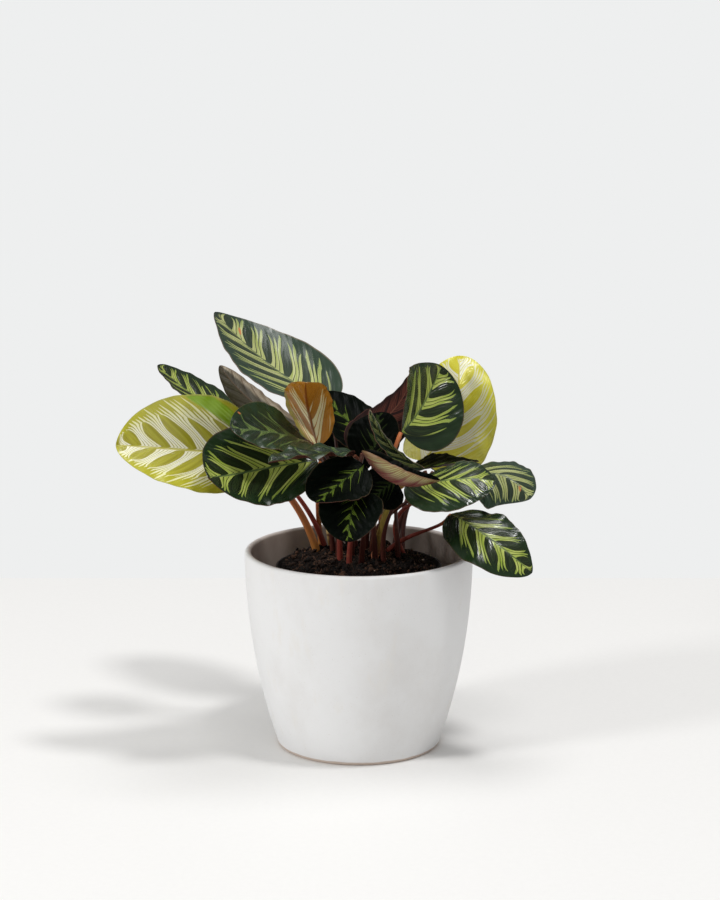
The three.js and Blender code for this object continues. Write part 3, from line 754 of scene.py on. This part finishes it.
def blade_grid(leaf, number):
    """The closed grid round the blade: over the upper side and back under it, each moved along the normal
    of the middle surface by half the thickness, which falls to the margin and swells under the rib. Both
    are puffed up between the side veins and over each dark oval by cosines of where the side vein starts,
    and rippled at the margin by two sines."""
    t, v = ROW[1:-1], COLUMN[1:-1]
    step = np.minimum(NEAR, np.minimum(t, 1 - t) / 2)
    along = blade_middle(leaf, t + step, v) - blade_middle(leaf, t - step, v)
    across = blade_middle(leaf, t, v + NEAR) - blade_middle(leaf, t, v - NEAR)
    over = np.abs(v)
    normal = unit(np.cross(across, along))
    middle = blade_middle(leaf, t, v)
    rib = np.exp(-((v / 0.035) ** 2))
    veins = np.cos(2 * np.pi * SIDE_VEINS * vein_share(leaf, t, v))
    ovals = np.cos(2 * np.pi * (leaf["cells"] * vein_share(leaf, t, v) + 0.25 * np.sign(v)))
    inner = np.sin(np.pi * np.clip(over * 1.08, 0, 1)) ** 0.6
    quilt = (PUFF["veins"] * veins - PUFF["ovals"] * ovals) * inner
    ripple = over ** 3 * outline(t) * (
        RIPPLE["slow"] * np.sin(23 * t + 2.1 * number + np.where(v > 0, 1.7, 0))
        + RIPPLE["fast"] * np.sin(51 * t + 1.3 * number))
    thick = HALF_THICK - MARGIN_LOSS * over ** 4
    lift = (quilt + ripple - RIB_GROOVE * rib * (1 - t))[..., None]
    below = (thick + RIB_DEPTH * np.exp(-((v / 0.07) ** 2)) * (1 - t))[..., None]
    upper = middle + normal * (thick[..., None] + lift)
    lower = middle + normal * ((quilt + ripple)[..., None] - below)
    loop = np.concatenate([upper, lower[:, ::-1]], 1)
    ends = [np.broadcast_to(midrib(leaf, end)[0], (1, loop.shape[1], 3)) for end in (0.0, 1.0)]
    return np.concatenate([ends[0], loop, ends[1]])


def blade_maps(leaf):
    """Two maps for the pattern: (t, v) over the blade, and where each point's side vein starts, with its
    side of the rib as -1 or 1."""
    t = np.concatenate([ROW, ROW[:, ::-1], ROW[:, :1]], 1)
    v = np.concatenate([COLUMN, COLUMN[:, ::-1], COLUMN[:, :1]], 1)
    safe = np.clip(t, 1e-6, 1 - 1e-6)
    return {"blade": np.stack([t, v], -1), "vein": np.stack([vein_share(leaf, safe, v), np.sign(v)], -1)}


# Colours by their 0 to 255 display values. reach and ragged are how far the pale lanes go and how
# unevenly they end, lanes is how many lie between two ovals, glow is the share of light let through and
# lit its colour, gloss is the wax's roughness and sheen its reflection. The looks of leaf_04 and leaf_05
# are their pale pattern raised further towards white as painted sunlight, and the looks of the inner leaves
# (the upper side of leaf_03, 12, 17 to 22 and 26) are the pattern pushed nearly to black as painted shade.
LOOKS = {
    "grown": {
        "oval": (14, 20, 17), "ground": (146, 168, 56), "streak": (200, 208, 116), "fade": (96, 130, 44),
        "band": (34, 54, 28), "rib": (84, 106, 64), "edge": (84, 70, 50), "reach": 0.78, "ragged": 0.26,
        "oval_reach": 0.76, "oval_width": 0.62, "gloss": 0.14, "sheen": 0.55},
    "ashen": {
        "oval": (34, 43, 38), "ground": (166, 178, 96), "streak": (206, 208, 150), "fade": (122, 144, 78),
        "band": (56, 74, 58), "rib": (96, 110, 84), "edge": (130, 118, 100), "reach": 0.84, "ragged": 0.24,
        "oval_reach": 0.8, "oval_width": 0.5, "rib_width": 0.025, "sheen": 0.45},
    "dusky": {
        "oval": (24, 32, 26), "ground": (74, 98, 44), "streak": (132, 152, 84), "fade": (50, 72, 38),
        "band": (40, 62, 34), "rib": (84, 104, 66), "edge": (90, 88, 60), "lit": (110, 150, 60),
        "reach": 0.6, "ragged": 0.7, "oval_reach": 0.74, "oval_width": 0.84, "rib_width": 0.025,
        "sheen": 0.5},
    # Painted shade: the leaf pattern pushed nearly to black, with few pale lanes, for leaves in the middle
    # of the clump.
    "painted_deep_shade": {
        "oval": (4, 7, 5), "ground": (72, 94, 30), "streak": (116, 136, 52), "fade": (34, 50, 22),
        "band": (8, 14, 8), "rib": (36, 50, 30), "edge": (60, 54, 38), "reach": 0.28, "ragged": 0.56,
        "oval_reach": 0.7, "oval_width": 0.8, "rib_width": 0.02, "glow": 0.0, "gloss": 0.32, "sheen": 0.04},
    "shaded": {
        "oval": (3, 5, 3), "ground": (34, 46, 20), "streak": (60, 74, 34), "fade": (15, 23, 12),
        "band": (6, 10, 6), "rib": (30, 42, 26), "edge": (60, 48, 34), "reach": 0.34, "ragged": 0.6,
        "oval_reach": 0.7, "oval_width": 0.66, "rib_width": 0.02, "glow": 0.0, "gloss": 0.36, "sheen": 0.03},
    "sunlit": {
        "oval": (146, 138, 10), "ground": (255, 252, 206), "streak": (255, 255, 246),
        "fade": (240, 240, 158), "band": (196, 192, 48), "rib": (206, 198, 76), "edge": (180, 178, 80),
        "lit": (250, 248, 160), "reach": 0.9, "ragged": 0.4, "oval_reach": 0.66, "oval_width": 0.6,
        "lanes": 5.0, "gloss": 0.16, "sheen": 0.6},
    # Painted sunlight: leaf_05's pale yellow pattern raised nearly to white, on both sides.
    "pale_painted_sunlit": {
        "oval": (226, 214, 20), "ground": (255, 255, 222), "streak": (255, 255, 255),
        "fade": (252, 250, 184), "band": (242, 238, 88), "rib": (232, 222, 90), "edge": (206, 200, 90),
        "lit": (255, 255, 170), "reach": 0.94, "ragged": 0.4, "oval_reach": 0.7, "oval_width": 0.56,
        "lanes": 5.0, "sheen": 0.6},
    "young": {
        "oval": (172, 112, 34), "ground": (232, 224, 156), "streak": (250, 246, 208), "fade": (196, 160, 84),
        "band": (184, 126, 40), "rib": (128, 68, 26), "edge": (140, 108, 50), "lit": (240, 170, 50),
        "reach": 0.82, "ragged": 0.1, "oval_reach": 0.95, "oval_width": 0.5, "rib_width": 0.07, "glow": 0.12,
        "sheen": 0.4},
    "wine": {
        "oval": (28, 12, 11), "ground": (52, 25, 20), "streak": (92, 48, 37), "fade": (42, 20, 17),
        "band": (34, 16, 14), "rib": (100, 62, 48), "edge": (96, 60, 50), "lit": (120, 40, 30),
        "reach": 0.84, "ragged": 0.3, "oval_reach": 0.74, "oval_width": 0.2, "lanes": 5.0, "glow": 0.02,
        "gloss": 0.5, "sheen": 0.1},
    "rosy": {
        "oval": (112, 98, 78), "ground": (164, 150, 126), "streak": (200, 188, 164), "fade": (146, 132, 112),
        "band": (128, 112, 92), "rib": (96, 78, 60), "edge": (130, 108, 92), "lit": (150, 120, 70),
        "reach": 0.96, "ragged": 0.2, "oval_reach": 0.9, "oval_width": 0.2, "lanes": 5.0, "rib_width": 0.04,
        "gloss": 0.36, "sheen": 0.35},
    "pale": {
        "oval": (96, 60, 46), "ground": (150, 158, 92), "streak": (196, 198, 142), "fade": (150, 142, 92),
        "band": (140, 112, 76), "rib": (100, 24, 42), "edge": (140, 96, 76), "lit": (200, 220, 120),
        "reach": 0.98, "ragged": 0.1, "oval_reach": 0.98, "oval_width": 0.24, "lanes": 5.0,
        "rib_width": 0.85, "glow": 0.06, "gloss": 0.38, "sheen": 0.35},
}
PLAIN_LOOK = {"lanes": 3.0, "rib_width": 0.03, "glow": 0.04, "gloss": 0.2, "lit": (150, 190, 60)}
# Colours of the scorch and moss stains, and of the painted shade and painted shadow patches.
STAIN_AND_SHADE_COLOURS = {"scorch": (214, 128, 76), "painted_leaf_shadow": (140, 188, 26), "painted_shade_patch": (30, 28, 8), "moss": (140, 136, 26)}
FIRST_CELL = 10.0


def blade_material(name, leaf, look):
    """The pattern of one side of one leaf. A dark oval leaves the rib in the middle of every cell, as broad
    as a sine of the distance from the rib to the power 0.65. Between two ovals the ground is pale, and dark
    lines that curve round the ovals cut it into lanes, each of which tapers and ends at its own distance
    from the rib. Beyond them the margin is dark."""
    material, start, spot = new_material(name)
    tone = {**PLAIN_LOOK, **LOOKS[look]}
    paint = {part: colour(*value) for part, value in tone.items() if isinstance(value, tuple)}
    blade = start.node("UVMap", {"uv_map": "blade"})
    vein = start.node("UVMap", {"uv_map": "vein"})
    t, v = blade.part("X"), blade.part("Y")
    s, side = vein.part("X"), vein.part("Y")
    out = start.math("ABSOLUTE", v)
    drawn_out = start.node("CombineXYZ", {}, {"X": s * 70.0, "Y": v * 1.5, "Z": side * 5.0})
    grain = start.noise(drawn_out, 1.0, 3.0, 0.6)
    blotch = start.noise(spot, 55.0, 3.0)
    wander = start.noise(blade, 2.5, 0.0) - 0.5
    course = s * leaf["cells"] + side * 0.25 + wander * 0.2 + FIRST_CELL

    offset = start.math("FRACT", course) - 0.5
    beside = start.math("ABSOLUTE", offset) * 2.0
    luck = start.luck(start.math("FLOOR", course), side)
    far = start.math("MINIMUM", (out + 0.05) / (tone["oval_reach"] + 0.05 + (luck - 0.5) * 0.2), 1.0)
    swell = start.math("POWER", start.math("SINE", far * math.pi), 0.65)
    breadth = swell * (tone["oval_width"] + (luck - 0.5) * 0.24)
    oval = (beside - breadth - (grain - 0.5) * 0.1).step(0.04, -0.04)

    band_number = start.math("FLOOR", course + 0.5)
    across = start.math("SIGN", offset) * (1.0 - beside) / (1.0 - breadth) * (tone["lanes"] / 2) + 0.5
    own = start.luck(band_number, side, start.math("FLOOR", across))
    ends = tone["reach"] + (own - 0.5) * tone["ragged"]
    taper = 1 - start.math("POWER", start.math("MINIMUM", out / ends, 1.0), 5.0)
    off_middle = start.math("ABSOLUTE", start.math("FRACT", across) - 0.5) * 2.0
    lane_edge = taper * (0.76 + own * 0.12) + (grain - 0.5) * 0.24
    stripe = (off_middle - lane_edge).step(0.1, -0.12) * taper.step(0.0, 0.15)
    first, last = leaf["bands"]
    stripe = stripe * s.step(first - 0.03, first + 0.02) * s.step(last, last - 0.05) * t.step(0.99, 0.96)

    rib = out.step(tone["rib_width"], tone["rib_width"] * 0.4)
    edge = out.step(0.968, 0.986)
    pale = grain.step(0.35, 0.68).blend(paint["ground"], paint["streak"])
    pale = (out.step(0.35, 0.9) * 0.6).blend(pale, paint["fade"])
    dark = (grain.step(0.35, 0.75) * 0.5 + blotch * 0.3).blend(paint["oval"], paint["band"])
    dark = (out.step(0.45, 0.85) * 0.75).blend(dark, paint["band"])
    field = (stripe * (0.86 + blotch * 0.2)).blend(dark, pale)
    # Painted sheen: the middle of each dark oval is lightened towards the band colour.
    dark = (beside.step(0.35, 0.0) * 0.4).blend(dark, paint["band"])
    field = (oval * 0.97).blend(field, dark)
    for kind, vein_place, rib_distance, length, breadth in leaf["stains_and_shade"]:
        lengthwise = start.math("POWER", (s - vein_place) / breadth, 2.0)
        crosswise = start.math("POWER", (v - rib_distance) / length, 2.0)
        patch = (lengthwise + crosswise + (blotch - 0.5) * 1.2).step(1.0, 0.5)
        field = (patch * 0.85).blend(field, colour(*STAIN_AND_SHADE_COLOURS[kind]))
    field = (rib * 0.85).blend(field, paint["rib"])
    field = (edge * 0.8).blend(field, paint["edge"])

    pores = start.node("TexVoronoi", {}, {"Vector": spot, "Scale": 1500.0}, "Distance")
    relief = off_middle * 0.5 + pores * 0.08 + grain * 0.25 + blotch * 0.5
    principled = start.node("BsdfPrincipled", {}, {
        "Base Color": field,
        "Roughness": tone["gloss"] + blotch * 0.1 + grain * 0.06,
        "Specular IOR Level": tone["sheen"],
        "Normal": start.bump(relief, 0.4, 0.0005),
    })
    through = start.node("BsdfTranslucent", {}, {"Color": paint["lit"]})
    lit = start.node("MixShader", {}, {0: tone["glow"], 1: principled, 2: through})
    start.node("OutputMaterial", {}, {"Surface": lit})
    return material


side_slots = np.concatenate([np.zeros(BLADE_COLUMNS + 1, int), np.ones(BLADE_COLUMNS + 1, int)])
for number, (name, given) in enumerate(LEAVES.items()):
    leaf = {**PLAIN_LEAF, **given}
    blade = skin(f"{name}_waxy_blade", blade_grid(leaf, number) * MM, blade_maps(leaf), side_slots)
    blade.data.materials.append(blade_material(f"{name}_upper_side", leaf, leaf["look"]))
    blade.data.materials.append(blade_material(f"{name}_under_side", leaf, leaf["under"]))
    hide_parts(f"{name}_blade")

# ---- Stalks ----
# Each stalk is a grooved fleshy tube rooted in the soil, sheath-like at its foot and thin at its neck,
# with a swollen joint that carries the blade. Most are dark brown, darkened further as painted shade of
# the leaves over them; some are red, rust or pink and green.
STALK_RINGS, STALK_SIDES = 44, 18
STALK = {"foot": 2.6, "neck": 1.3, "swelling": (1.55, 1.72, 1.5), "joint": 7, "buried": 20.0}
STALK_TINTS = {
    "rust": [(206, 140, 66), (200, 122, 72), (166, 92, 62), (196, 112, 60)],
    # Dark brown stalks, darkened further as painted shade under the leaves.
    "dark": [(92, 46, 38), (84, 42, 34), (60, 32, 26), (104, 58, 40)],
    "pink": [(214, 118, 104), (180, 150, 78), (160, 146, 64), (170, 132, 60)],
    "red": [(150, 66, 54), (146, 66, 54), (120, 52, 44), (186, 110, 56)],
}


def stalk_path(leaf):
    """Points from under the soil to the blade: a short buried end, one cubic curve that leaves the soil
    upright, and the straight joint."""
    foot = np.array([*leaf["foot"], SOIL["edge"]], float)
    point, direction, _ = midrib(leaf, 0.0)
    arrive = unit(direction + np.array([0, 0, leaf["rise"]]))
    turn = np.linalg.norm(np.cross(arrive, direction))
    end = point - arrive * (0.5 + 1.7 * turn)
    knee = end - arrive * STALK["joint"]
    reach = np.linalg.norm(foot - knee)
    aside = np.array([*leaf["bend"], 0.0])
    low = foot + (knee - foot) * [0.25, 0.25, 0] + np.array([0, 0, leaf["climb"] * reach]) + aside
    high = knee - arrive * 0.25 * reach + aside
    u = np.linspace(0, 1, 200)[:, None]
    curve = foot * (1 - u) ** 3 + 3 * low * u * (1 - u) ** 2 + 3 * high * u * u * (1 - u) + knee * u ** 3
    gone = np.concatenate([[0], np.cumsum(np.linalg.norm(np.diff(curve, axis=0), axis=1))])
    even = np.linspace(0, gone[-1], STALK_RINGS)
    spaced = np.stack([np.interp(even, gone, curve[:, k]) for k in range(3)], -1)
    buried = foot - [0, 0, STALK["buried"]]
    joint = knee + (end - knee) * np.linspace(0.2, 1, 5)[:, None]
    return np.vstack([buried, spaced, joint])


def stalk_grid(leaf, path):
    """Rings round the path: thick at the foot, thin at the neck, swollen at the joint, with one groove
    along the upper side and faint ribs."""
    ahead = unit(np.gradient(path, axis=0))
    right = unit(np.cross(ahead, [0.0, 1.0, 0.0]))
    front = np.cross(right, ahead)
    share = np.concatenate([[-0.2], np.linspace(0, 1, STALK_RINGS), np.linspace(1.03, 1.15, 5)])
    foot, neck = STALK["foot"] * leaf["girth"], STALK["neck"] * leaf["stout"]
    low, wide, high = STALK["swelling"]
    radius = np.interp(share, [-0.2, 0, 0.667, 0.86, 1.0, 1.06, 1.15],
                       [foot, 0.8 * foot + 0.2 * neck, neck, neck, low, wide, high])
    angle = round_angles(STALK_SIDES)
    groove = 1 - 0.16 * np.exp(-(((angle - 1.2) / 0.45) ** 2)) + 0.02 * np.cos(6 * angle)
    hoop = radius[:, None] * groove
    loop = path[:, None] + hoop[..., None] * (
        np.cos(angle)[:, None] * right[:, None] + np.sin(angle)[:, None] * front[:, None])
    ends = [np.broadcast_to(path[k], (1, STALK_SIDES, 3)) for k in (0, -1)]
    values = np.stack(np.broadcast_arrays(share[:, None], np.linspace(0, 1, STALK_SIDES + 1)), -1)
    return np.concatenate([ends[0], loop, ends[1]]), np.concatenate([values[:1], values, values[-1:]])


def stalk_material(name, tones):
    """Colours of foot, middle, top and joint along the stalk, with darker streaks drawn out along it."""
    foot, middle, top, joint = (colour(*tone) for tone in tones)
    material, start, spot = new_material(name)
    tube = start.node("UVMap", {"uv_map": "stalk"})
    streak = start.noise(tube, 9.0, 3.0, 0.6, (0.35, 1.0, 1.0))
    patch = start.noise(spot, 90.0, 2.0)
    stops = [(0.0, foot), (0.28, middle), (0.78, top), (0.9, joint), (1.0, joint)]
    tone = start.node("ValToRGB", {"stops": stops}, {"Fac": tube.part("X") * 0.9 + (patch - 0.5) * 0.2})
    tone = (streak.step(0.5, 0.75) * 0.45).blend(tone, colour(70, 34, 24))
    tone = (patch.step(0.6, 0.75) * 0.3).blend(tone, colour(196, 150, 100))
    finish_material(start, {
        "Base Color": tone,
        "Roughness": 0.36 + streak * 0.15,
        "Normal": start.bump(streak, 0.3, 0.0004),
    })
    return material


stalk_skins = {tint: stalk_material(f"stalk_{tint}", tones) for tint, tones in STALK_TINTS.items()}
for name, given in LEAVES.items():
    leaf = {**PLAIN_LEAF, **given}
    grid, values = stalk_grid(leaf, stalk_path(leaf))
    stalk = skin(f"{name}_grooved_stalk", grid * MM, {"stalk": values})
    stalk.data.materials.append(stalk_skins[leaf["stalk"]])
    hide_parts(f"{name}_stalk")

# ---- Cut stalk ----
# The stub of a stalk that was cut off, still rooted in the soil: dried to straw colour, faintly ribbed,
# with a brown ring part of the way up.
STUB_PATH = [[-21, 52, 118], [-21, 52, 138], [-22, 51.3, 144], [-23, 50.7, 151], [-24, 50, 157.6],
             [-24, 50, 158]]
STUB_RADII = [2.5, 2.6, 2.5, 2.4, 2.45, 2.2]
STUB_RING = {"low": 151.0 * MM, "high": 153.0 * MM, "soft": 0.5 * MM}

stub_path = np.array(STUB_PATH, float)
stub_angle = round_angles(STALK_SIDES)
stub_hoop = np.array(STUB_RADII)[:, None] * (1 + 0.05 * np.cos(5 * stub_angle))
stub_loop = stub_path[:, None] + np.stack(
    [stub_hoop * np.cos(stub_angle), stub_hoop * np.sin(stub_angle), np.zeros_like(stub_hoop)], -1)
stub_ends = [np.broadcast_to(stub_path[k], (1, STALK_SIDES, 3)) for k in (0, -1)]
stub = skin("cut_stalk_stub", np.concatenate([stub_ends[0], stub_loop, stub_ends[1]]) * MM)
straw, start, spot = new_material("dry_straw")
height = spot.part("Z")
string = start.noise(spot, 420.0, 3.0, 0.6, (1.0, 1.0, 0.15))
low, high, soft = STUB_RING["low"], STUB_RING["high"], STUB_RING["soft"]
ring_mask = height.step(low - soft, low + soft) * height.step(high + soft, high - soft)
tone = string.step(0.35, 0.7).blend(colour(214, 186, 120), colour(170, 132, 78))
finish_material(start, {
    "Base Color": (ring_mask * 0.8).blend(tone, colour(84, 48, 28)),
    "Roughness": 0.6,
    "Normal": start.bump(string, 0.5, 0.0004),
})
stub.data.materials.append(straw)
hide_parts("cut_stalk")

# ---- Size of the dressed object ----
low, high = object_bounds()
